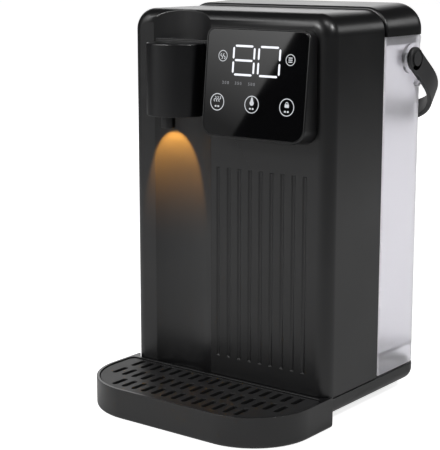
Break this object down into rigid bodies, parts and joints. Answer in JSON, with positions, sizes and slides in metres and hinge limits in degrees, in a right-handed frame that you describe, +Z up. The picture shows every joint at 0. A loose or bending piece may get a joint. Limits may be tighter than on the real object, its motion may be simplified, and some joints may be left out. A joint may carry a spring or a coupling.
{
  "type": "instant hot water dispenser",
  "caption": "Upright countertop hot water dispenser with a touch panel, a spout set in a cove, a slide-in drip tray and a lift-off rear water tank with a swinging handle.",
  "frame": {"origin": "middle of the footprint at table level", "axes": "+X to the right seen from the front, +Y to the back, +Z up"},
  "size_m": [0.1946, 0.2532, 0.3],
  "materials": {
    "black_shell": "satin black moulding",
    "black_inner": "plain black moulding",
    "rubber": "soft matt",
    "frosted_clear": "frosted translucent",
    "white_plastic": "natural white moulding",
    "steel": "plated",
    "silicone": "milky soft hose",
    "cast_alloy": "cast",
    "amber_lens": "clear amber",
    "black_glass": "black printed on the back",
    "circuit_board": "green lacquer",
    "wire_sleeve": "red sleeve"
  },
  "bodies": {
    "stand": {"front_housing": "black_shell", "bulkhead": "black_inner", "base": "black_shell", "base_cover": "black_inner", "feet": "rubber", "inlet_socket": "black_inner", "socket_seal": "rubber", "inlet_hose": "silicone", "pump_body": "black_inner", "pump_motor": "steel", "pump_mount": "rubber", "pump_hose": "silicone", "heater": "cast_alloy", "heater_bracket": "steel", "thermal_cutouts": "black_inner", "temperature_sensor": "steel", "outlet_hose": "silicone", "spout_drum": "black_shell", "spout_floor": "black_inner", "spout_pipe": "silicone", "spout_nozzle": "black_inner", "spout_lens": "amber_lens", "control_head": "black_shell", "control_glass": "black_glass", "display_board": "circuit_board", "power_board": "circuit_board", "wiring": "wire_sleeve", "cord_gland": "rubber", "housing_screws": "steel", "base_screws": "steel", "cover_screws": "steel", "head_screws": "steel"},
    "tank": {"water_tank": "frosted_clear", "handle_pivots": "black_shell", "tank_valve_body": "white_plastic", "valve_nut": "black_inner", "valve_cage": "white_plastic", "valve_spring": "steel"},
    "lid": {"tank_lid": "black_shell"},
    "handle": {"tank_handle": "black_shell"},
    "valve": {"valve_poppet": "white_plastic", "valve_seal": "rubber"},
    "tray": {"drip_tray": "black_shell"},
    "grid": {"drip_grid": "black_inner"},
    "impeller": {"pump_impeller": "white_plastic"}
  },
  "joints": [
    {"name": "tank_lift", "type": "slide", "parent": "stand", "child": "tank", "axis": [0, 0, 1], "range_m": [0, 0.3]},
    {"name": "lid_lift", "type": "slide", "parent": "tank", "child": "lid", "axis": [0, 0, -1], "range_m": [-0.06, 0]},
    {"name": "handle_swing", "type": "hinge", "parent": "tank", "child": "handle", "pos_m": [0, 0.05398, 0.2598], "axis": [1, 0, 0], "range_deg": [0, 126.5]},
    {"name": "valve_lift", "type": "slide", "parent": "tank", "child": "valve", "axis": [0, 0, 1], "range_m": [0, 0.003], "stiffness_N_per_m": 150, "springref_m": -0.004, "deforming": ["valve_spring"]},
    {"name": "tray_slide", "type": "slide", "parent": "stand", "child": "tray", "axis": [0, -1, 0], "range_m": [0, 0.1]},
    {"name": "grid_lift", "type": "slide", "parent": "tray", "child": "grid", "axis": [0, 0, 1], "range_m": [0, 0.04]},
    {"name": "impeller_spin", "type": "hinge", "parent": "stand", "child": "impeller", "pos_m": [0.022, -0.01782, 0.048], "axis": [1, 0, 0], "continuous": true}
  ]
}
